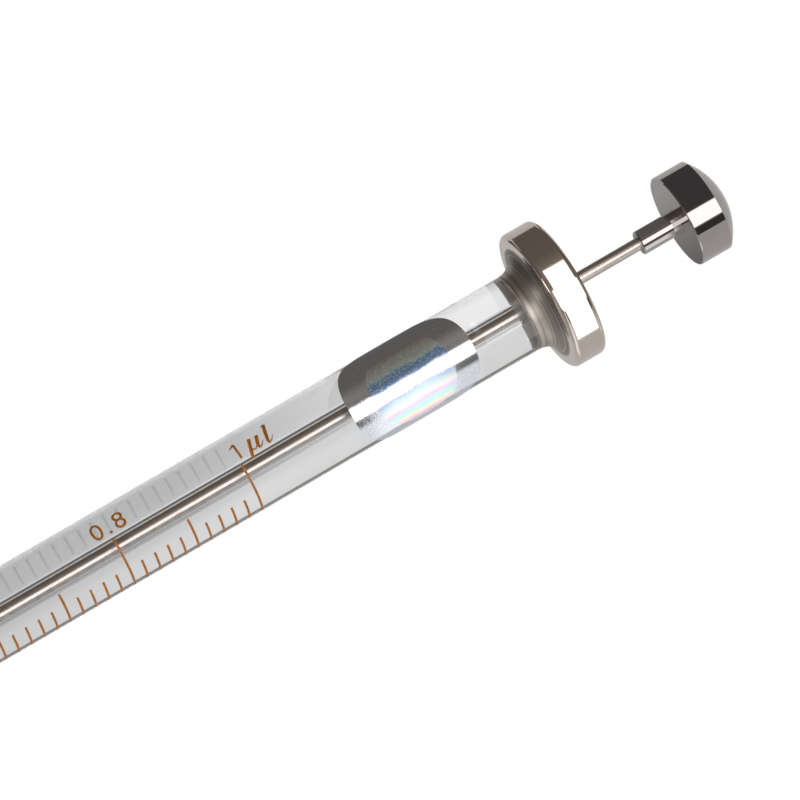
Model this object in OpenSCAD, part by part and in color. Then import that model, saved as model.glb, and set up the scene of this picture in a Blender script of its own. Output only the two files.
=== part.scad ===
// Plunger-in-needle microsyringe for one microlitre. It lies along X with its needle
// towards -X and its plunger button towards +X. The origin is on the axis, at the zero
// graduation. A fine wire on the plunger fills the needle, so its stroke is the volume.

/* [Glass barrel] */
// Outside diameter of the glass tube
barrel_d = 6.8; // [5.8:0.1:9]
// Bore of the glass tube
bore_d = 1.3; // [1:0.05:1.8]
// Plain glass between the front fitting and the zero graduation
glass_before_zero = 7; // [4:0.5:15]
// Plain glass between the full graduation and the rear flange
glass_after_full = 26.6; // [24:0.1:40]
// Diameter of the ground ends that sit in the metal fittings
spigot_d = 5; // [3.5:0.1:5.1]
// Length of the ground end in the front fitting
front_spigot_len = 5; // [3:0.5:8]
// Length of the ground end in the rear flange
rear_spigot_len = 3.3; // [2:0.1:3.6]

/* [Scale] */
// Volume at the full graduation, in microlitres
capacity = 1; // [0.5:0.1:2]
// Length of the scale from zero to full
scale_len = 60; // [40:1:66]
// Number of divisions
divisions = 50; // [10:10:60]
// Divisions from one numbered mark to the next
long_every = 10; // [5:5:20]
// Divisions from one middle mark to the next
middle_every = 5; // [1:1:10]
// Width of a mark along the axis
mark_w = 0.2; // [0.1:0.05:0.4]
// Height of the fused enamel
mark_t = 0.03; // [0.02:0.01:0.06]
// Angle of the lower end of every mark, from the top towards -Y
mark_start = 95; // [80:1:120]
// Sweep of a short mark around the glass
short_sweep = 44; // [20:1:60]
// Sweep of a middle mark around the glass
middle_sweep = 62; // [30:1:80]
// Sweep of a numbered mark around the glass
long_sweep = 89; // [50:1:120]

/* [Label] */
// Length of the label along the glass
label_len = 11.7; // [6:0.1:13]
// Size of the label around the glass
label_wrap = 10.7; // [5:0.1:14]
// Thickness of the label
label_t = 0.06; // [0.04:0.01:0.12]
// Distance from the full graduation to the label
label_after_full = 9.7; // [5:0.1:10]
// Angle of the middle of the label, from the top towards -Y
label_angle = 19; // [-30:1:60]

/* [Rear flange] */
// Diameter of the finger flange
flange_d = 12.4; // [11:0.1:18]
// Thickness of the finger flange
flange_t = 2.9; // [2:0.1:5]
// Length of the coved hub in front of the flange
hub_len = 1.8; // [1.5:0.1:3]
// Radius of the cove between the hub and the flange
cove_r = 1.8; // [0.6:0.1:1.9]
// Rounding of the flange's rim
flange_round = 0.45; // [0.1:0.05:0.6]

/* [Front fitting] */
// Diameter of the fitting behind its stem
fitting_d = 7.2; // [7:0.1:9]
// Metal between the glass and the threaded stem
fitting_wall = 1.5; // [1:0.1:4]
// Diameter of the threaded stem
stem_d = 4.4; // [4:0.1:4.8]
// Length of the threaded stem
stem_len = 5.5; // [4.5:0.1:10]
// Hole that leads the wire through the stem
stem_hole_d = 0.5; // [0.3:0.05:1]
// Diameter of the silicone sealing washer
washer_d = 2.8; // [2:0.1:3.2]
// Thickness of the sealing washer
washer_t = 1.2; // [0.8:0.1:2]

/* [Needle] */
// Outside diameter of the needle
needle_d = 0.47; // [0.4:0.01:0.8]
// Needle outside its hub
needle_len = 70; // [50:1:90]
// Angle of the needle's ground point, from its axis
point_angle = 20; // [15:1:60]
// Diameter of the hub's flange inside the nut
hub_flange_d = 3.4; // [2.8:0.1:3.8]
// Thickness of the hub's flange
hub_flange_t = 1.2; // [0.8:0.1:2]
// Diameter of the hub's nose
nose_d = 2; // [1.2:0.1:2.4]
// Length of the hub's nose, from its flange
nose_len = 4.6; // [3:0.1:8]

/* [Needle nut] */
// Diameter of the nut over its knurl
nut_d = 7.2; // [6.8:0.1:9]
// Metal in front of the hub's flange
nut_wall = 1.7; // [1:0.1:3]
// Diameter of the nut's front face
nut_nose_d = 4.4; // [3:0.1:5]
// Length of the tapered front of the nut
nut_taper = 1.5; // [0.5:0.1:1.6]
// Number of knurl grooves
knurl_count = 32; // [12:1:48]
// Depth of a knurl groove
knurl_depth = 0.18; // [0.05:0.01:0.25]

/* [Plunger] */
// Volume that the plunger is drawn back to, in microlitres
reading = 0.11; // [0:0.01:0.5]
// Air between the ferrule and the flange with the plunger fully in
stop_gap = 0.4; // [0.1:0.1:2]
// Diameter of the ferrule
ferrule_d = 2.1; // [1.8:0.1:3]
// Length of the ferrule in front of the button
ferrule_len = 3.7; // [2:0.1:8]
// Length of the ferrule inside the button
ferrule_seat = 1.5; // [1:0.1:2]
// Length of the wire inside the end of the rod
wire_seat = 3; // [1:0.5:6]

/* [Button] */
// Diameter of the button
button_d = 8.2; // [6:0.1:14]
// Length of the button's straight side
button_len = 2.8; // [2.2:0.1:6]
// Height of the button's domed end
dome_h = 1.6; // [0.5:0.1:2.5]

/* [Edges] */
// Broken edge of a turned metal piece
edge_break = 0.08; // [0.02:0.01:0.15]

/* [Clearances] */
// Radial gap between the rod and what it runs in
rod_gap = 0.1; // [0.02:0.01:0.12]
// Radial gap between the rod and the hole in the flange
guide_gap = 0.06; // [0.02:0.01:0.15]
// Radial gap between the wire and what it runs in
wire_gap = 0.022; // [0.015:0.001:0.04]
// Gap of a bonded or seated joint
bond_gap = 0.02; // [0.01:0.005:0.04]
// Radial gap between the nut and what it turns on
nut_gap = 0.05; // [0.02:0.01:0.1]
// Gap between the end of the nut and the fitting
nut_end_gap = 0.3; // [0.1:0.05:0.6]

/* [Hidden] */
$fn = 96;
cut = 0.5; // how far a cutting shape runs past what it cuts

// The wire is as thick as makes its stroke along the scale the full volume.
wire_d = sqrt(4 * capacity / (PI * scale_len));
rod_d = bore_d - 2 * rod_gap;
needle_bore_d = wire_d + 2 * wire_gap;

// Places along the axis, from the needle end to the flange
front_shoulder = -glass_before_zero;
front_face = front_shoulder - front_spigot_len;
fitting_front = front_face - bond_gap - fitting_wall;
stem_front = fitting_front - stem_len;
hub_back = stem_front - bond_gap;
hub_shoulder = hub_back - hub_flange_t;
nut_front = hub_shoulder - bond_gap - nut_wall;
nose_front = hub_shoulder - nose_len;
needle_tip = nose_front - needle_len;
rear_shoulder = scale_len + glass_after_full;
rear_face = rear_shoulder + rear_spigot_len;
flange_front = rear_shoulder + bond_gap + hub_len;
flange_back = flange_front + flange_t;

// Places on the plunger, drawn back to its reading
stroke = scale_len * reading / capacity;
ferrule_front = flange_back + stop_gap + stroke;
button_face = ferrule_front + ferrule_len;
ferrule_back = button_face + ferrule_seat;
button_edge = button_face + button_len;
dome_r = (pow(button_d / 2, 2) + pow(dome_h, 2)) / (2 * dome_h);

// Outline of the label: a rounded oval, as a power curve
label_power = 2.4;
label_rows = 18;
label_columns = 20;
label_end_turn = 7; // how much of the curve's turn its short square ends take up

// A round bar from one place on the axis to another
module bar(from, to, d) {
    translate([min(from, to), 0, 0]) rotate([0, 90, 0]) cylinder(d = d, h = abs(to - from));
}

// A turned bar with the edges of both its ends broken
module turned_bar(from, to, d) {
    turned() polygon([[from, 0], [from, d / 2 - edge_break], [from + edge_break, d / 2],
        [to - edge_break, d / 2], [to, d / 2 - edge_break], [to, 0]]);
}

// A 2D profile, with x along the axis and y as the radius, turned about the axis
module turned() {
    rotate([0, 90, 0]) rotate_extrude() mirror([1, -1]) children();
}

// A band round the glass, from angle start through sweep, seen from the top towards -Y
module arc_band(at, w, r, t, start, sweep) {
    translate([at - w / 2, 0, 0]) rotate([0, 90, 0]) rotate([0, 0, 180 + start])
        rotate_extrude(angle = sweep) translate([r, 0]) square([t, w]);
}

module glass_barrel() {
    color([0.86, 0.9, 0.92, 0.4]) difference() {
        union() {
            bar(front_shoulder, rear_shoulder, barrel_d);
            bar(front_face, rear_face, spigot_d);
        }
        bar(front_face - cut, rear_face + cut, bore_d);
    }
}

// Fused graduations: every mark starts on one line and is as long as its rank
module scale_marks() {
    color([0.72, 0.4, 0.14]) for (i = [0 : divisions]) {
        sweep = i % long_every == 0 ? long_sweep : i % middle_every == 0 ? middle_sweep : short_sweep;
        arc_band(i * scale_len / divisions, mark_w, barrel_d / 2 + bond_gap, mark_t,
            mark_start - sweep, sweep);
    }
}

// How far along and how far round the outline of the label lies at a turn of its curve
function label_along(turn) = label_len / 2 * sign(cos(turn)) * pow(abs(cos(turn)), 2 / label_power);
function label_round(turn) = label_wrap / 2 * pow(sin(turn), 2 / label_power);
function label_turn(row) = 180 - label_end_turn - row * (180 - 2 * label_end_turn) / label_rows;
// A point of the wrapped sheet, with angle measured from the top towards -Y
function wrapped(x, angle, r) = [x, -r * sin(angle), r * cos(angle)];
function label_point(row, column, r) =
    let (turn = label_turn(row),
        reach = label_round(turn) / (barrel_d / 2) * 180 / PI,
        middle = scale_len + label_after_full + label_len / 2)
    wrapped(middle + label_along(turn), label_angle + reach * (2 * column / label_columns - 1), r);

module foil_label() {
    inner = barrel_d / 2 + bond_gap;
    across = label_columns + 1;
    layer = across * (label_rows + 1);
    points = [for (r = [inner, inner + label_t], row = [0 : label_rows], column = [0 : label_columns])
        label_point(row, column, r)];
    // Two triangles on a patch of four points, and the same on the edge between the layers
    sheet = [for (row = [0 : label_rows - 1], column = [0 : label_columns - 1])
        let (p = row * across + column, q = p + across)
        for (face = [[p, p + 1, q + 1], [p, q + 1, q],
            [layer + p, layer + q + 1, layer + p + 1], [layer + p, layer + q, layer + q + 1]]) face];
    sides = [for (row = [0 : label_rows - 1])
        let (p = row * across, q = p + across, far = across - 1)
        for (face = [[p, q, layer + q], [p, layer + q, layer + p],
            [p + far, layer + q + far, q + far], [p + far, layer + p + far, layer + q + far]]) face];
    last = label_rows * across;
    ends = [for (column = [0 : label_columns - 1])
        for (face = [[column, layer + column, layer + column + 1], [column, layer + column + 1, column + 1],
            [last + column, last + column + 1, layer + last + column + 1],
            [last + column, layer + last + column + 1, layer + last + column]]) face];
    color([0.62, 0.66, 0.7]) polyhedron(points = points, faces = concat(sheet, sides, ends));
}

// Half of the rim's section, with its outer corners rounded
module rim_profile() {
    translate([flange_front, 0]) square([flange_t, flange_d / 2 - flange_round]);
    translate([flange_front + flange_round, 0]) square([flange_t - 2 * flange_round, flange_d / 2]);
    for (x = [flange_front + flange_round, flange_back - flange_round])
        translate([x, flange_d / 2 - flange_round]) circle(flange_round);
}

// Hub that rises in a cove from the glass's own diameter to the flange
module hub_profile() {
    hub_front = rear_shoulder + bond_gap;
    square_r = barrel_d / 2 + cove_r;
    difference() {
        translate([hub_front, 0]) square([hub_len + flange_t / 2, square_r]);
        translate([flange_front - cove_r, square_r]) circle(cove_r);
        translate([hub_front - cut, barrel_d / 2])
            square([hub_len - cove_r + cut, cove_r + cut]);
    }
}

module rear_flange() {
    color([0.74, 0.72, 0.69]) difference() {
        turned() {
            rim_profile();
            hub_profile();
        }
        bar(rear_shoulder - cut, rear_face + bond_gap, spigot_d + 2 * bond_gap);
        bar(rear_face, flange_back + cut, rod_d + 2 * guide_gap);
    }
}

module front_fitting() {
    color([0.74, 0.72, 0.69]) difference() {
        union() {
            turned_bar(fitting_front, front_shoulder - bond_gap, fitting_d);
            turned_bar(stem_front, fitting_front + edge_break, stem_d);
        }
        bar(front_face - bond_gap, front_shoulder, spigot_d + 2 * bond_gap);
        bar(stem_front - cut, front_face, stem_hole_d);
        bar(stem_front - cut, stem_front + washer_t, washer_d + 2 * bond_gap);
    }
}

module sealing_washer() {
    color([0.85, 0.55, 0.45]) difference() {
        bar(stem_front, stem_front + washer_t, washer_d);
        bar(stem_front - cut, stem_front + washer_t + cut, needle_bore_d);
    }
}

// Straight knurl: V grooves cut along the nut
module knurl() {
    for (i = [0 : knurl_count - 1])
        rotate([i * 360 / knurl_count, 0, 0]) translate([nut_front - cut, 0, nut_d / 2])
            rotate([45, 0, 0]) translate([0, -knurl_depth / sqrt(2), -knurl_depth / sqrt(2)])
                cube([fitting_front - nut_front + 2 * cut, knurl_depth * sqrt(2), knurl_depth * sqrt(2)]);
}

module needle_nut() {
    back = fitting_front - nut_end_gap;
    color([0.74, 0.72, 0.69]) difference() {
        turned() polygon([[nut_front, 0], [nut_front, nut_nose_d / 2], [nut_front + nut_taper, nut_d / 2],
            [back - edge_break, nut_d / 2], [back, nut_d / 2 - edge_break], [back, 0]]);
        knurl();
        bar(hub_back - bond_gap, back + cut, stem_d + 2 * nut_gap);
        bar(hub_shoulder - bond_gap, hub_back, hub_flange_d + 2 * nut_gap);
        bar(nut_front - cut, hub_shoulder, nose_d + 2 * nut_gap);
    }
}

module needle_hub() {
    color([0.78, 0.76, 0.73]) difference() {
        union() {
            bar(hub_shoulder, hub_back, hub_flange_d);
            turned_bar(nose_front, hub_back, nose_d);
        }
        bar(nose_front - cut, hub_back + cut, needle_d + 2 * bond_gap);
    }
}

// Fine tube, its point ground off on one slant
module needle_tube() {
    color([0.7, 0.7, 0.7]) difference() {
        bar(needle_tip, hub_back, needle_d);
        bar(needle_tip - cut, hub_back + cut, needle_bore_d);
        translate([needle_tip, 0, -needle_d / 2]) rotate([0, -point_angle, 0])
            translate([-cut, -needle_d, 0])
                cube([needle_d / sin(point_angle) + 2 * cut, 2 * needle_d, 3 * needle_d]);
    }
}

// The wire reaches the heel of the needle's point when the plunger is fully in
module plunger_wire() {
    heel = needle_tip + needle_d / tan(point_angle);
    color([0.6, 0.6, 0.6]) bar(heel + stroke, stroke + wire_seat, wire_d);
}

module plunger_rod() {
    color([0.62, 0.6, 0.57]) difference() {
        bar(stroke, ferrule_back, rod_d);
        bar(stroke - cut, stroke + wire_seat + bond_gap, wire_d + 2 * bond_gap);
    }
}

module plunger_ferrule() {
    color([0.66, 0.64, 0.62]) difference() {
        turned_bar(ferrule_front, ferrule_back, ferrule_d);
        bar(ferrule_front - cut, ferrule_back + cut, rod_d + 2 * bond_gap);
    }
}

// Straight side and flat front with a broken edge, cut off behind by the dome's sphere
module button_profile() {
    far = button_edge + dome_h + cut;
    intersection() {
        polygon([[button_face, 0], [button_face, button_d / 2 - edge_break],
            [button_face + edge_break, button_d / 2], [far, button_d / 2], [far, 0]]);
        translate([button_edge + dome_h - dome_r, 0]) circle(dome_r);
    }
}

module plunger_button() {
    color([0.6, 0.59, 0.58]) difference() {
        turned() button_profile();
        bar(button_face - cut, ferrule_back + bond_gap, ferrule_d + 2 * bond_gap);
    }
}

glass_barrel();
scale_marks();
foil_label();
rear_flange();
front_fitting();
sealing_washer();
needle_nut();
needle_hub();
needle_tube();
plunger_wire();
plunger_rod();
plunger_ferrule();
plunger_button();
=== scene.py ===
"""Looks, light and camera of a one-microlitre microsyringe that lies along X.

Lengths are in millimetres and are turned into metres where a mesh, a material or the camera
is made. An angle round the axis is measured from the top, +Z, towards the front, -Y, unless
it is said to go from TOWARDS to FRONT. These are set with the camera.
"""

import math

import bmesh
import bpy
from mathutils import Matrix, Vector


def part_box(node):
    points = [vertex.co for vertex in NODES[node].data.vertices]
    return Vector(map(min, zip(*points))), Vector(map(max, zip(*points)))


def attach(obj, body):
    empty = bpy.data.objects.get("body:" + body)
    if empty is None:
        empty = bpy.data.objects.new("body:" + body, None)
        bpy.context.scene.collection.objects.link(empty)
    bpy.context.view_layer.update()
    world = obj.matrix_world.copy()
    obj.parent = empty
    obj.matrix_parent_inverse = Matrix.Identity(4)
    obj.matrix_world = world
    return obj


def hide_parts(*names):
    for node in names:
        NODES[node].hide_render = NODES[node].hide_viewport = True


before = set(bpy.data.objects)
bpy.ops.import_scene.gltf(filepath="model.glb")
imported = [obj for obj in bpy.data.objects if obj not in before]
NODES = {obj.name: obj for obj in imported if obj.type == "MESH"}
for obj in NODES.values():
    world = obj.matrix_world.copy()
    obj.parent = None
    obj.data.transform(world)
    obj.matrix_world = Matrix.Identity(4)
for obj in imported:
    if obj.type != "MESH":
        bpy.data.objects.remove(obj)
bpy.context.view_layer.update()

MM = 0.001

# ---------------------------------------------------------------- places on the syringe
BOND = 0.02  # the gap in which a part is bonded to the glass
SCALE_LEN = 60.0  # from the zero graduation, at the origin, to the full one
GLASS_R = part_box("glass_barrel")[1].z / MM
SCALE_R = GLASS_R + BOND  # enamel and label lie on the glass
GLASS_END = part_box("rear_flange")[0].x / MM - BOND  # the shoulder of the glass's rear end
HUB_LEN = 1.8
FLANGE_FACE = GLASS_END + BOND + HUB_LEN  # the front of the flange's rim, behind its hub
SPIGOT_R = 2.5  # the ground ends of the glass, inside the flange and the front fitting
GLASS_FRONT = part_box("front_fitting")[1].x / MM + BOND  # the shoulder of its front end
JOINTS = [(GLASS_END, 1, 3.3), (GLASS_FRONT, -1, 5.0)]  # shoulder, side along X, length of spigot
CEMENT_SKIN = 0.02  # how deep the cement is sunk in the glass, and it fills half the gap
CEMENT_HOLE_R = 0.72  # it leaves the bore open

# The label: a rounded oval, as a power curve whose ends are cut short, and an oval panel on it
LABEL_LEN = (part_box("foil_label")[1].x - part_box("foil_label")[0].x) / MM
LABEL_MIDDLE = (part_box("foil_label")[1].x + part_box("foil_label")[0].x) / MM / 2
LABEL_WRAP = 10.7  # its width, round the glass
LABEL_T = 0.06
LABEL_ANGLE = 19.0  # its middle
LABEL_POWER = 2.4
LABEL_END_TURN = 7.0  # how much of the curve's half turn is cut off at each end
LABEL_ROWS = 64
LABEL_COLUMNS = 96
OVAL_LEN = 7.3
OVAL_ANGLE = 23.0  # its middle
OVAL_SWEEP = 122.0  # its width, as an angle

# The numerals
ENAMEL = 0.03  # its thickness
NUMERAL_HEIGHT = 1.52
NUMERAL_FOOT = -2.4  # the angle of their foot
NUMERAL_SPACING = 1.22  # as a share of the font's own
CUT_STEP = 0.07  # height of the strips that a numeral is cut into
NUMERAL_CUTS = range(-8, 30)
FONT_DIGIT = 0.69  # height of a digit in the built-in font, for a size of 1
NUMERAL_SHIFT = 0.17  # from its mark to the middle of a numeral
# Each numeral with the place of its middle along X
NUMERALS = [(f"0.{i}", SCALE_LEN * i / 10 + NUMERAL_SHIFT) for i in (2, 4, 6, 8)]
# The full mark's 1 and unit, as pen strokes of (along, up, width) from the mark
FULL_MARK = [
    [(-0.18, 1.2, 0.1), (0.05, 1.3, 0.15), (0.26, 1.5, 0.2)],
    [(0.28, 1.52, 0.2), (0.31, 0.0, 0.2)],
    [(1.62, 1.18, 0.3), (1.38, 0.45, 0.3), (1.12, -0.38, 0.28)],
    [(1.4, 0.3, 0.1), (1.5, 0.12, 0.14), (1.72, 0.1, 0.12), (1.95, 0.35, 0.08)],
    [(2.3, 1.15, 0.3), (2.08, 0.5, 0.3), (1.98, 0.14, 0.26)],
    [(1.93, 0.12, 0.16), (2.1, 0.03, 0.16), (2.3, 0.12, 0.1), (2.55, 0.42, 0.05)],
    [(2.95, 1.68, 0.05), (3.2, 1.72, 0.12), (3.32, 1.76, 0.1)],
    [(3.28, 1.74, 0.28), (3.05, 0.9, 0.3), (2.86, 0.1, 0.26)],
    [(2.8, 0.06, 0.16), (2.98, -0.02, 0.16), (3.2, 0.1, 0.1), (3.45, 0.42, 0.05)],
]

# ---------------------------------------------------------------- camera
AZIMUTH = math.radians(-31.6)  # from -Y towards +X
ELEVATION = math.radians(70.8)
DISTANCE = 420.0
FIELD = 65.35  # width of the view at the syringe
SENSOR = 36.0
AIM = (74.45, -1.2, -0.36)  # the point that it looks at

# From the aim back to the camera
BACK = Vector((
    math.sin(AZIMUTH) * math.cos(ELEVATION),
    -math.cos(AZIMUTH) * math.cos(ELEVATION),
    math.sin(ELEVATION),
))
# Across the syringe: towards the camera, and towards the front at right angles to that
TOWARDS = Vector((0, BACK.y, BACK.z)).normalized()
FRONT = Vector((0, -TOWARDS.z, TOWARDS.y))
TOWARDS_ANGLE = math.degrees(math.atan2(-TOWARDS.y, TOWARDS.z))  # from the top


def add_camera():
    data = bpy.data.cameras.new("camera")
    data.lens = SENSOR * DISTANCE / FIELD
    data.sensor_width = SENSOR
    data.clip_end = 10
    obj = bpy.data.objects.new("camera", data)
    bpy.context.scene.collection.objects.link(obj)
    obj.location = (Vector(AIM) + BACK * DISTANCE) * MM
    obj.rotation_euler = BACK.to_track_quat("Z", "Y").to_euler()
    bpy.context.scene.camera = obj


# ---------------------------------------------------------------- node helpers
class Tree:
    """Short names for making and joining the nodes of one material or world."""

    def __init__(self, owner):
        owner.use_nodes = True
        self.tree = owner.node_tree
        self.tree.nodes.clear()

    def add(self, kind, inputs=None, **settings):
        node = self.tree.nodes.new(kind)
        for name, value in settings.items():
            setattr(node, name, value)
        for name, value in (inputs or {}).items():
            self.set(node, name, value)
        return node

    def set(self, node, name, value):
        if isinstance(value, bpy.types.NodeSocket):
            self.tree.links.new(value, node.inputs[name])
        else:
            node.inputs[name].default_value = value

    def math(self, operation, *values):
        node = self.add("ShaderNodeMath", operation=operation)
        for i, value in enumerate(values):
            self.set(node, i, value)
        return node.outputs[0]

    def mix(self, factor, a, b, blend="MIX"):
        sides = {0: factor, 6: a, 7: b}
        node = self.add("ShaderNodeMix", sides, data_type="RGBA", blend_type=blend)
        return node.outputs[2]

    def span(self, value, start, end, low=0.0, high=1.0, ease="LINEAR"):
        """From low to high while value goes from start to end, and flat past them."""
        node = self.add("ShaderNodeMapRange", {
            "Value": value, "From Min": start, "From Max": end, "To Min": low, "To Max": high},
            interpolation_type=ease)
        return node.outputs[0]

    def grey(self, level):
        channels = {name: level for name in ("Red", "Green", "Blue")}
        return self.add("ShaderNodeCombineColor", channels).outputs[0]

    def ramp(self, factor, stops):
        """stops: (position, colour or grey level), in order."""
        node = self.add("ShaderNodeValToRGB", {"Fac": factor})
        ramp = node.color_ramp
        while len(ramp.elements) < len(stops):
            ramp.elements.new(0.5)
        for element, (place, value) in zip(ramp.elements, stops):
            element.position = place
            colour = value if isinstance(value, tuple) else (value,) * 3
            element.color = (*colour, 1)
        return node.outputs[0]

    def noise(self, vector, scale, detail=2.0, roughness=0.5):
        node = self.add("ShaderNodeTexNoise", {
            "Vector": vector, "Scale": scale, "Detail": detail, "Roughness": roughness})
        return node.outputs[0]

    def bump(self, height, strength, distance):
        node = self.add("ShaderNodeBump", {
            "Height": height, "Strength": strength, "Distance": distance})
        return node.outputs[0]

    def place(self):
        """The piece's own coordinates: separate X, Y, Z sockets in metres, and the vector."""
        vector = self.add("ShaderNodeTexCoord").outputs["Object"]
        parts = self.add("ShaderNodeSeparateXYZ", {"Vector": vector})
        return parts.outputs[0], parts.outputs[1], parts.outputs[2], vector

    def turned_place(self):
        """Coordinates of a turned piece: along the axis and out from it, so lines run round it."""
        x, y, z, _ = self.place()
        squares = [self.math("MULTIPLY", side, side) for side in (y, z)]
        out = self.math("SQRT", self.math("ADD", *squares))
        return self.add("ShaderNodeCombineXYZ", {"X": x, "Y": out}).outputs[0]

    def surface(self, shader, kind="ShaderNodeOutputMaterial"):
        self.add(kind, {"Surface": shader})


def material(name):
    made = bpy.data.materials.new(name)
    return made, Tree(made)


# ---------------------------------------------------------------- materials
def glass_material():
    made, t = material("borosilicate_glass")
    _, _, _, vector = t.place()
    drawn = t.add("ShaderNodeMapping", {"Vector": vector, "Scale": (40, 900, 900)}).outputs[0]
    ripple = t.bump(t.noise(drawn, 1.0), 0.003, 0.0001)
    shader = t.add("ShaderNodeBsdfPrincipled", {
        "Base Color": (0.985, 0.99, 0.99, 1), "Roughness": 0.0, "IOR": 1.48,
        "Transmission Weight": 1.0, "Normal": ripple})
    t.surface(shader.outputs[0])
    return made


def turned_metal(name, colour, roughness, lines, line_depth, hub_roughness=None):
    """Plated or polished metal with fine turning lines round the axis and faint cloudiness.

    With hub_roughness, the hub in front of the flange's rim is left duller from its turning, and
    its colour darker, ring by ring, as painted shade.
    """
    made, t = material(name)
    x, _, _, vector = t.place()
    fine = t.noise(t.turned_place(), lines, 3.0, 0.7)
    cloud = t.noise(vector, 350.0, 3.0)
    dark = tuple(c * 0.93 for c in colour)
    base = t.mix(cloud, (*dark, 1), (*colour, 1))
    polish = t.math("ADD", t.math("MULTIPLY", cloud, roughness * 0.5), roughness * 0.75)
    if hub_roughness:
        before_rim = t.math("LESS_THAN", x, (FLANGE_FACE - BOND / 2) * MM)
        on_hub = t.math("MULTIPLY", before_rim, t.math("GREATER_THAN", x, 0.0))
        polish = t.math("MAXIMUM", polish, t.math("MULTIPLY", on_hub, hub_roughness))
        # Painted shade: the rings darken the hub's colour to between a third and three quarters,
        # for the shade in front of the rim
        rings = t.ramp(t.noise(t.turned_place(), 4000.0, 2.0, 0.7), [(0.35, 0.34), (0.65, 0.72)])
        base = t.mix(on_hub, base, rings, blend="MULTIPLY")
    shader = t.add("ShaderNodeBsdfPrincipled", {
        "Base Color": base, "Metallic": 1.0, "Roughness": polish,
        "Normal": t.bump(fine, line_depth, 0.00002)})
    t.surface(shader.outputs[0])
    return made


def enamel_material():
    made, t = material("amber_enamel")
    _, _, _, vector = t.place()
    grain = t.noise(vector, 6000.0, 3.0)
    shader = t.add("ShaderNodeBsdfPrincipled", {
        "Base Color": t.ramp(grain, [(0.3, (0.30, 0.092, 0.006)), (0.7, (0.62, 0.235, 0.02))]),
        "Roughness": 0.35, "Normal": t.bump(grain, 0.3, 0.00001)})
    t.surface(shader.outputs[0])
    return made


def silicone_material():
    made, t = material("silicone")
    _, _, _, vector = t.place()
    mottle = t.noise(vector, 2500.0, 3.0)
    shader = t.add("ShaderNodeBsdfPrincipled", {
        "Base Color": t.mix(mottle, (0.62, 0.24, 0.16, 1), (0.72, 0.32, 0.22, 1)),
        "Roughness": 0.55, "Subsurface Weight": 0.2, "Subsurface Scale": 0.0005})
    t.surface(shader.outputs[0])
    return made


def cement_material():
    made, t = material("cement")
    rings = t.noise(t.turned_place(), 3000.0, 3.0, 0.7)
    shader = t.add("ShaderNodeBsdfPrincipled", {
        "Base Color": t.ramp(rings, [(0.3, (0.5, 0.44, 0.38)), (0.7, (0.78, 0.72, 0.66))]),
        "Roughness": 0.7})
    t.surface(shader.outputs[0])
    return made


# The label's plain rainbow, with painted light and shade: deep colours in its upper half, painted
# in shade, and pale ones in its lower half, painted lit, with white painted highlights
DEEP_IN_SHADE = {"grey": (0.5, 0.55, 0.55), "orange": (0.9, 0.5, 0.3), "green": (0.4, 0.6, 0.55),
        "brown": (0.55, 0.5, 0.47), "blue": (0.18, 0.3, 0.5)}
PALE_LIT = {"white": (0.96, 0.95, 0.97), "violet": (0.5, 0.47, 0.94), "cyan": (0.6, 0.92, 0.94),
        "yellow": (0.97, 0.94, 0.6), "pink": (0.97, 0.65, 0.83)}
# Its bands by the angle from TOWARDS to FRONT, in degrees, so that they stay turned to the camera:
# the white ones are painted highlights where the lamp reflects
BANDS = [(-50, DEEP_IN_SHADE["grey"]), (-38, DEEP_IN_SHADE["grey"]), (-35, DEEP_IN_SHADE["orange"]), (-32, DEEP_IN_SHADE["green"]),
         (-25, DEEP_IN_SHADE["brown"]), (-19, DEEP_IN_SHADE["green"]), (-14, DEEP_IN_SHADE["blue"]), (-4, DEEP_IN_SHADE["blue"]),
         (0, PALE_LIT["white"]), (13, PALE_LIT["white"]), (16, PALE_LIT["violet"]), (21, PALE_LIT["cyan"]),
         (26, PALE_LIT["white"]), (33, PALE_LIT["white"]), (37, PALE_LIT["pink"]), (42, PALE_LIT["cyan"]),
         (47, PALE_LIT["cyan"]), (52, PALE_LIT["yellow"]), (59, PALE_LIT["pink"]), (66, PALE_LIT["white"])]
BANDS_START, BANDS_END = -80.0, 80.0  # the ends of the ramp that holds them
# The bands show from here on, in degrees past BANDS_START: above, the foil is plain
BANDS_SHOW = (40.0, 50.0)
FOIL = (0.70, 0.73, 0.78, 1)
GLITTER = (0.95, 0.96, 1.0, 1)


def in_oval(t, x, turn):
    """1 inside the label's oval panel, a power curve like the label's own outline."""
    middle = t.math("SUBTRACT", x, LABEL_MIDDLE * MM)
    along = t.math("ABSOLUTE", t.math("DIVIDE", middle, OVAL_LEN / 2 * MM))
    middle = t.math("SUBTRACT", turn, math.radians(OVAL_ANGLE))
    across = t.math("ABSOLUTE", t.math("DIVIDE", middle, math.radians(OVAL_SWEEP / 2)))
    reach = t.math("ADD", *(t.math("POWER", side, LABEL_POWER) for side in (along, across)))
    return t.math("LESS_THAN", reach, 1.0)


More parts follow.
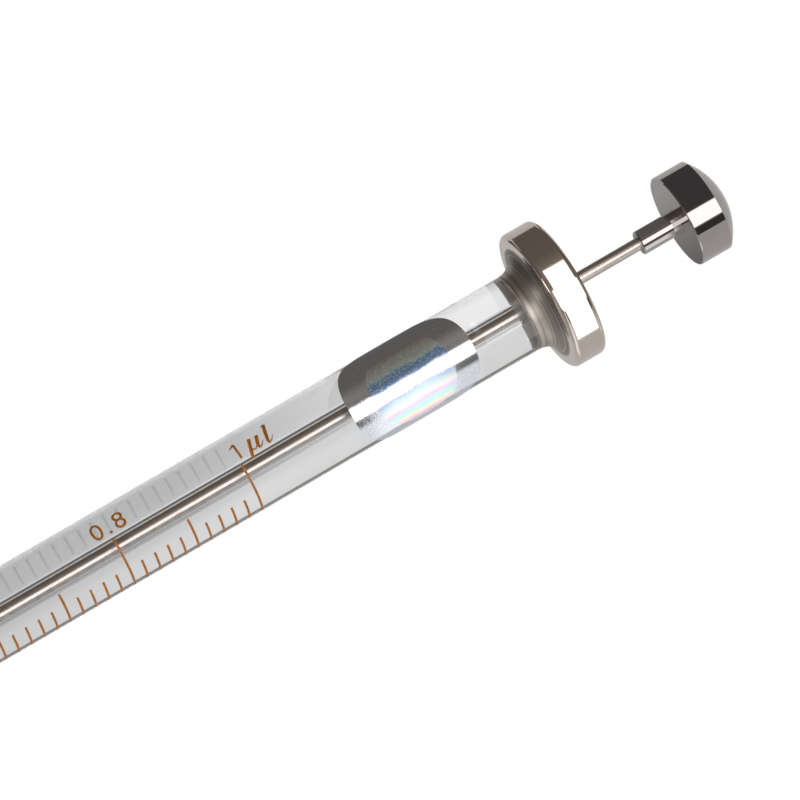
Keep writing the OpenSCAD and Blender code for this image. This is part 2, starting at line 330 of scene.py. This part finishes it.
def foil_material():
    """Silver foil, specked and a little crumpled, with an oval panel of rainbow colours, painted by
    the angle to the camera together with painted highlights and shade.
    """
    made, t = material("holographic_foil")
    x, y, z, vector = t.place()
    turn = t.math("ARCTAN2", t.math("MULTIPLY", y, -1.0), z)
    drift = t.math("SUBTRACT", t.noise(vector, 500.0, 2.0), 0.5)
    place = t.math("ADD", turn, t.math("MULTIPLY", drift, 0.16))
    place = t.math("ADD", place, math.radians(-BANDS_START - TOWARDS_ANGLE))
    width = BANDS_END - BANDS_START
    # Painted light in the base colour: pale bands and white highlights where the lamp reflects,
    # deep ones where the foil is in shade
    rainbow_and_painted_light = t.ramp(t.math("DIVIDE", place, math.radians(width)),
                     [((angle - BANDS_START) / width, colour) for angle, colour in BANDS])
    shown = t.span(place, *(math.radians(angle) for angle in BANDS_SHOW))
    panel = t.math("MULTIPLY", in_oval(t, x, turn), shown)
    grain = t.noise(vector, 2600.0, 3.0)
    speck = t.noise(vector, 7000.0, 2.0)
    base = t.mix(panel, FOIL, rainbow_and_painted_light)
    specks = t.ramp(speck, [(0.52, 0.0), (0.66, 1.0)])
    base = t.mix(t.math("MULTIPLY", specks, 0.5), base, GLITTER)
    # The foil is more worn towards the label's front end
    front, kept = (LABEL_MIDDLE - LABEL_LEN / share for share in (2, 5))
    worn = t.span(x, front * MM, kept * MM, 1.0, 0.3)
    relief = t.math("MULTIPLY", t.math("ADD", speck, grain), worn)
    shader = t.add("ShaderNodeBsdfPrincipled", {
        "Base Color": base,
        "Metallic": t.math("SUBTRACT", 1.0, t.math("MULTIPLY", panel, 0.3)),
        "Roughness": t.math("ADD", 0.13, t.math("MULTIPLY", panel, 0.1)),
        "Normal": t.bump(relief, 0.7, 0.00001)})
    t.surface(shader.outputs[0])
    return made


def adhesive_material():
    made, t = material("label_back")
    _, _, _, vector = t.place()
    mottle = t.noise(vector, 1500.0, 3.0)
    shader = t.add("ShaderNodeBsdfPrincipled", {
        "Base Color": t.mix(mottle, (0.22, 0.21, 0.2, 1), (0.3, 0.285, 0.27, 1)),
        "Roughness": 0.6})
    t.surface(shader.outputs[0])
    return made


def paint(node, made):
    slots = NODES[node].data.materials
    slots.clear()
    slots.append(made)


# ---------------------------------------------------------------- pieces on the glass
def on_glass(x, turn, r):
    """A point on the glass, with turn in radians from the top towards -Y."""
    return Vector((x, -r * math.sin(turn), r * math.cos(turn)))


def new_piece(name, data, body):
    piece = bpy.data.objects.new(name, data)
    bpy.context.scene.collection.objects.link(piece)
    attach(piece, body)
    return piece


def flat_numeral(text):
    """A numeral as a flat mesh in millimetres, centred on x = 0 with its foot on y = 0."""
    curve = bpy.data.curves.new("numeral", "FONT")
    curve.body = text
    curve.size = NUMERAL_HEIGHT / FONT_DIGIT
    curve.space_character = NUMERAL_SPACING
    curve.align_x = "CENTER"
    shape = bpy.data.objects.new("numeral", curve)
    bpy.context.scene.collection.objects.link(shape)
    shown = shape.evaluated_get(bpy.context.evaluated_depsgraph_get())
    flat = bpy.data.meshes.new_from_object(shown)
    bpy.data.objects.remove(shape)
    return flat


def add_stroke(mesh, points):
    """Adds a pen stroke to a bmesh: points are (x, y, width), in millimetres."""
    sides = []
    for i, (x, y, width) in enumerate(points):
        before = points[max(i - 1, 0)]
        after = points[min(i + 1, len(points) - 1)]
        along = Vector((after[0] - before[0], after[1] - before[1])).normalized()
        out = Vector((-along.y, along.x)) * width / 2
        sides.append([mesh.verts.new((x + k * out.x, y + k * out.y, 0)) for k in (1, -1)])
    for (a, b), (c, d) in zip(sides, sides[1:]):
        mesh.faces.new((b, d, c, a))


def flat_lettering():
    """All the numerals and the full mark's unit in one flat bmesh, facing up, in millimetres."""
    mesh = bmesh.new()
    for text, x in NUMERALS:
        flat = flat_numeral(text)
        flat.transform(Matrix.Translation((x, 0, 0)))
        mesh.from_mesh(flat)
    for stroke in FULL_MARK:
        add_stroke(mesh, [(SCALE_LEN + x, y, width) for x, y, width in stroke])
    # Cut across, so that every face is short enough to follow the round glass
    for i in NUMERAL_CUTS:
        geometry = mesh.verts[:] + mesh.edges[:] + mesh.faces[:]
        cut = (0, i * CUT_STEP, 0)
        bmesh.ops.bisect_plane(mesh, geom=geometry, plane_co=cut, plane_no=(0, 1, 0))
    bmesh.ops.recalc_face_normals(mesh, faces=mesh.faces)
    for face in mesh.faces:
        if face.normal.z < 0:
            face.normal_flip()
    return mesh


def add_numerals():
    """The numerals in enamel, bent round the glass."""
    mesh = flat_lettering()
    bmesh.ops.solidify(mesh, geom=mesh.faces[:], thickness=ENAMEL)
    lowest = min(v.co.z for v in mesh.verts)
    for vertex in mesh.verts:
        x, y, z = vertex.co
        turn = math.radians(NUMERAL_FOOT) - y / GLASS_R
        vertex.co = on_glass(x, turn, SCALE_R + z - lowest) * MM
    bmesh.ops.recalc_face_normals(mesh, faces=mesh.faces)
    data = bpy.data.meshes.new("scale_numerals")
    mesh.to_mesh(data)
    data.materials.append(enamel_material())
    new_piece("scale_numerals", data, "barrel")


def label_row(i):
    """Where row i of the label lies along X, and how far round the glass it reaches, in radians."""
    first, last = 180 - LABEL_END_TURN, LABEL_END_TURN
    turn = math.radians(first) - math.radians(first - last) * i / LABEL_ROWS
    cosine = math.cos(turn)
    along = math.copysign(abs(cosine) ** (2 / LABEL_POWER), cosine)
    reach = LABEL_WRAP / 2 * math.sin(turn) ** (2 / LABEL_POWER) / GLASS_R
    return LABEL_MIDDLE + LABEL_LEN / 2 * along, reach


def add_label():
    """The oval label, on a finer mesh than its solid: adhesive inside, and foil outside."""
    rows, columns = LABEL_ROWS, LABEL_COLUMNS
    points, faces = [], []
    for layer in (0, 1):
        for i in range(rows + 1):
            x, reach = label_row(i)
            for j in range(columns + 1):
                angle = math.radians(LABEL_ANGLE) + reach * (2 * j / columns - 1)
                points.append(on_glass(x, angle, SCALE_R + layer * LABEL_T) * MM)
    across = columns + 1
    count = across * (rows + 1)
    for i in range(rows):
        for j in range(columns):
            p = i * across + j
            faces.append((p, p + 1, p + across + 1, p + across))
            q = count + p
            faces.append((q, q + across, q + across + 1, q + 1))
    rim = list(range(across)) + [i * across + columns for i in range(1, rows + 1)]
    rim += [rows * across + j for j in range(columns - 1, -1, -1)]
    rim += [i * across for i in range(rows - 1, 0, -1)]
    for p, q in zip(rim, rim[1:] + rim[:1]):
        faces.append((q, p, count + p, count + q))
    data = bpy.data.meshes.new("label")
    data.from_pydata(points, [], faces)
    data.materials.append(adhesive_material())
    data.materials.append(foil_material())
    for face in data.polygons:
        face.use_smooth = True
        face.material_index = int(all(v >= count for v in face.vertices))
    on_rim = set(rim)
    for edge in data.edges:
        edge.use_edge_sharp = all(v % count in on_rim for v in edge.vertices)
    piece = new_piece("label", data, "barrel")
    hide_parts("foil_label")


def cement_section(shoulder, way, length):
    """Half section of the cement on one end of the glass: round its shoulder, spigot and face.

    Points are (x, radius), and way is the side along X on which the spigot lies.
    """
    inner, outer = CEMENT_SKIN, BOND / 2
    near, far = -inner, length - inner
    points = [(near, GLASS_R - inner), (near, SPIGOT_R - inner), (far, SPIGOT_R - inner),
              (far, CEMENT_HOLE_R), (length + outer, CEMENT_HOLE_R),
              (length + outer, SPIGOT_R + outer), (outer, SPIGOT_R + outer),
              (outer, GLASS_R - inner)]
    return [(shoulder + way * u, r) for u, r in points]


def add_cement():
    """The cement between the glass and its two fittings, which shows through the glass's ends."""
    steps = 96
    mesh = bmesh.new()
    for shoulder, way, length in JOINTS:
        loops = []
        for x, r in cement_section(shoulder, way, length):
            ring = (on_glass(x, 2 * math.pi * i / steps, r) * MM for i in range(steps))
            loops.append([mesh.verts.new(point) for point in ring])
        for near, far in zip(loops, loops[1:] + loops[:1]):
            for i in range(steps):
                k = (i + 1) % steps
                mesh.faces.new((near[i], near[k], far[k], far[i]))
    bmesh.ops.recalc_face_normals(mesh, faces=mesh.faces)
    data = bpy.data.meshes.new("joint_cement")
    mesh.to_mesh(data)
    data.materials.append(cement_material())
    new_piece("joint_cement", data, "barrel")


# ---------------------------------------------------------------- light and surroundings
def share_round(t, direction):
    """A direction's angle from TOWARDS to FRONT, as 0 to 1 for -180 to 180 degrees."""
    front, towards = (
        t.add("ShaderNodeVectorMath", {0: direction, 1: way}, operation="DOT_PRODUCT")
        for way in (FRONT, TOWARDS))
    turn = t.math("ARCTAN2", front.outputs["Value"], towards.outputs["Value"])
    return t.math("ADD", t.math("MULTIPLY", turn, 0.5 / math.pi), 0.5)


def warm(level):
    """The tint of the dark, unlit walls of the studio."""
    return (level, level * 0.88, level * 0.78)


LAMP = 2.2  # its level
LAMP_END = 0.62  # how far the lamp reaches along X, as a share of a direction's length
DARK_END = 0.3  # the most light past its ends
# The surroundings' level by the angle from TOWARDS to FRONT, in degrees: a long lamp above,
# and dark walls
SURROUNDINGS = [
    (-180, 0.5), (-128, 0.5),
    (-127, warm(0.13)), (-60, warm(0.14)), (-30, warm(0.26)), (-4.5, warm(0.2)),
    (-3.5, LAMP), (33, LAMP),
    (34, warm(0.13)), (53.5, warm(0.13)),
    (54.5, 0.55), (180, 0.55),
]


def add_world():
    """The lamp and walls to the syringe, and plain white to the camera."""
    world = bpy.data.worlds.new("studio")
    bpy.context.scene.world = world
    t = Tree(world)
    direction = t.add("ShaderNodeTexCoord").outputs["Generated"]
    level = t.ramp(share_round(t, direction), [((a + 180) / 360, v) for a, v in SURROUNDINGS])
    x = t.add("ShaderNodeSeparateXYZ", {"Vector": direction}).outputs[0]
    past_lamp = t.span(t.math("ABSOLUTE", x), LAMP_END, LAMP_END + 0.1)
    dimmed = t.mix(1.0, level, (*warm(DARK_END), 1), blend="DARKEN")
    level = t.mix(past_lamp, level, dimmed)
    seen = t.add("ShaderNodeLightPath").outputs["Is Camera Ray"]
    colour = t.mix(seen, level, (1, 1, 1, 1))
    back = t.add("ShaderNodeBackground", {"Color": colour, "Strength": 1.0})
    t.surface(back.outputs[0], kind="ShaderNodeOutputWorld")


FLOOR_DEPTH = 60.0
FLOOR_X = (-400.0, 400.0)
FLOOR_Y = (-500.0, 180.0)
# How light the floor looks through the glass, with painted shade, by X in mm: in its upper half and
# in its lower half
FLOOR_BEHIND = [(40, 0.40), (48, 0.42), (62, 0.42), (71, 0.46), (94, 0.82)]
FLOOR_BEFORE = [(40, 0.62), (48, 0.64), (65, 0.70), (71, 0.74), (94, 0.68)]
FLOOR_TURN = (-10.0, 55.0)  # from the one to the other, along Y
# The floor's dimming along Y is painted shade
FLOOR_DIM = (-70.0, -15.0, 0.6)  # along Y it dims from the second to the first, to this share
FLOOR_IN_METAL = 0.58
FLOOR_GLOW = 0.9  # the rest of the white that the camera sees is lit, and takes the shadow
FLOOR_COLOUR = 0.17  # of the sheet that is lit


def floor_shade_through_glass(t):
    """The floor's level where it is seen through the glass, with painted shade along X and Y."""
    x, y, _, _ = t.place()
    first, last = FLOOR_BEHIND[0][0], FLOOR_BEHIND[-1][0]
    along = t.math("DIVIDE", t.math("SUBTRACT", x, first * MM), (last - first) * MM)
    behind, before = (t.ramp(along, [((a - first) / (last - first), v) for a, v in stops])
                      for stops in (FLOOR_BEHIND, FLOOR_BEFORE))
    near, far = (place * MM for place in FLOOR_TURN)
    level = t.mix(t.span(y, near, far, ease="SMOOTHSTEP"), behind, before)
    dim_end, dim_start, least = FLOOR_DIM
    dim = t.span(y, dim_end * MM, dim_start * MM, least, 1.0)
    return t.mix(1.0, level, t.grey(dim), blend="MULTIPLY")


def floor_material():
    """White with a soft shadow to the camera, and to the syringe a pale glowing sheet with painted
    shade.
    """
    made, t = material("pale_floor")
    paths = t.add("ShaderNodeLightPath").outputs
    metal = (FLOOR_IN_METAL,) * 3 + (1,)
    level = t.mix(paths["Is Transmission Ray"], metal, floor_shade_through_glass(t))
    to_object = t.add("ShaderNodeEmission", {"Color": level, "Strength": 1.0})
    glow = t.add("ShaderNodeEmission", {"Color": (1, 1, 1, 1), "Strength": FLOOR_GLOW})
    sheet = t.add("ShaderNodeBsdfDiffuse", {"Color": (FLOOR_COLOUR,) * 3 + (1,)})
    to_camera = t.add("ShaderNodeAddShader", {0: glow.outputs[0], 1: sheet.outputs[0]})
    mix = t.add("ShaderNodeMixShader", {
        0: paths["Is Camera Ray"], 1: to_object.outputs[0], 2: to_camera.outputs[0]})
    t.surface(mix.outputs[0])
    return made


def add_sheet(name, points, faces, made):
    """A sheet of the studio. Points are in millimetres."""
    data = bpy.data.meshes.new(name)
    data.from_pydata([Vector(p) * MM for p in points], [], faces)
    obj = bpy.data.objects.new(name, data)
    bpy.context.scene.collection.objects.link(obj)
    data.materials.append(made)
    return obj


def add_level(name, x_range, y_range, z, made):
    """A level rectangle of the studio."""
    (a, b), (c, d) = x_range, y_range
    return add_sheet(name, [(a, c, z), (b, c, z), (b, d, z), (a, d, z)], [(0, 1, 2, 3)], made)


def emission(name, level):
    made, t = material(name)
    shader = t.add("ShaderNodeEmission", {"Color": (level, level, level, 1), "Strength": 1.0})
    t.surface(shader.outputs[0])
    return made


def only_in_metal(card):
    """Only polished surfaces see the card: it isn't in the picture and lights nothing else."""
    card.visible_camera = False
    card.visible_diffuse = False
    card.visible_transmission = False
    card.visible_shadow = False


def add_card(name, edges, angles, level):
    """A card bent round the syringe that only its polished surfaces see.

    Its two edges are (x, radius), and it goes from one angle to the other, from TOWARDS to
    FRONT in degrees. A level under 1 is a grey card, and over 1 a lit one.
    """
    steps = 24
    points = []
    for i in range(steps + 1):
        turn = math.radians(angles[0] + (angles[1] - angles[0]) * i / steps)
        across = TOWARDS * math.cos(turn) + FRONT * math.sin(turn)
        points += [Vector((x, 0, 0)) + across * radius for x, radius in edges]
    faces = [(2 * i, 2 * i + 1, 2 * i + 3, 2 * i + 2) for i in range(steps)]
    only_in_metal(add_sheet(name, points, faces, emission(name, level)))


# The grey card under the button that shades its flat face, lighter towards the back
TRAY_X = (92.0, 101.0)
TRAY_Y = (-3.0, 14.0)
TRAY_Z = -20.0
TRAY_SHADE = (2.0, 9.0, 0.2, 0.45)  # from and to along Y, and its level there


def add_tray():
    made, t = material("button_grey")
    _, y, _, _ = t.place()
    near, far, dark, light = TRAY_SHADE
    level = t.grey(t.span(y, near * MM, far * MM, dark, light))
    t.surface(t.add("ShaderNodeEmission", {"Color": level}).outputs[0])
    only_in_metal(add_level("button_grey", TRAY_X, TRAY_Y, TRAY_Z, made))


CARD_R = 25.0
COLLAR_X = FLANGE_FACE - 5.9  # where the hub's cards stand, flat across the syringe
# The cards: name, two edges as (x, radius), angles from TOWARDS to FRONT, level
CARDS = [
    ("flange_card", ((93.2, 40.0), (99.9, 40.0)), (-34.2, 82.0), 2.2),
    ("button_dark_back", ((107.0, CARD_R), (112.0, CARD_R)), (-116.0, -5.5), 0.07),
    ("button_dark_front", ((107.0, CARD_R), (112.0, CARD_R)), (34.0, 50.0), 0.05),
    ("ferrule_card", ((103.5, CARD_R), (106.6, CARD_R)), (60.0, 97.0), 1.3),
    ("hub_dark", ((COLLAR_X, 3.7), (COLLAR_X, 9.0)), (-125.0, -30.0), 0.13),
    ("hub_glint", ((COLLAR_X, 3.7), (COLLAR_X, 6.0)), (-30.0, -6.0), 2.2),
    ("hub_light", ((COLLAR_X, 3.7), (COLLAR_X, 9.0)), (-6.0, 100.0), 0.45),
    ("ferrule_dark", ((102.9, CARD_R), (106.9, CARD_R)), (-150.0, -28.0), 0.16),
    ("label_dark", ((71.5, 12.0), (84.0, 12.0)), (-146.0, -109.0), 0.12),
    ("label_card", ((75.0, CARD_R), (82.7, CARD_R)), (32.0, 112.0), 1.2),
    ("label_card_low", ((71.0, 26.0), (86.5, 26.0)), (56.0, 116.0), 0.85),
]


# ---------------------------------------------------------------- the scene
def dress():
    """Gives every CAD node that stays its material."""
    nickel = turned_metal(
        "nickel_plate", (0.70, 0.625, 0.555), 0.1, 9000.0, 0.1, hub_roughness=0.42)
    chrome = turned_metal("chrome_plate", (0.50, 0.462, 0.452), 0.05, 9000.0, 0.03)
    rod = turned_metal("ground_steel", (0.60, 0.53, 0.49), 0.3, 20000.0, 0.1)
    needle = turned_metal("drawn_steel", (0.62, 0.62, 0.62), 0.25, 12000.0, 0.1)
    paint("glass_barrel", glass_material())
    paint("scale_marks", enamel_material())
    paint("sealing_washer", silicone_material())
    for node in ("rear_flange", "front_fitting", "needle_nut", "needle_hub"):
        paint(node, nickel)
    for node in ("plunger_button", "plunger_ferrule"):
        paint(node, chrome)
    paint("plunger_rod", rod)
    for node in ("needle_tube", "plunger_wire"):
        paint(node, needle)


add_camera()
add_world()
add_level("floor", FLOOR_X, FLOOR_Y, -FLOOR_DEPTH, floor_material())
for card in CARDS:
    add_card(*card)
add_tray()
dress()
add_label()
add_numerals()
add_cement()
bpy.context.scene.view_settings.view_transform = "Standard"
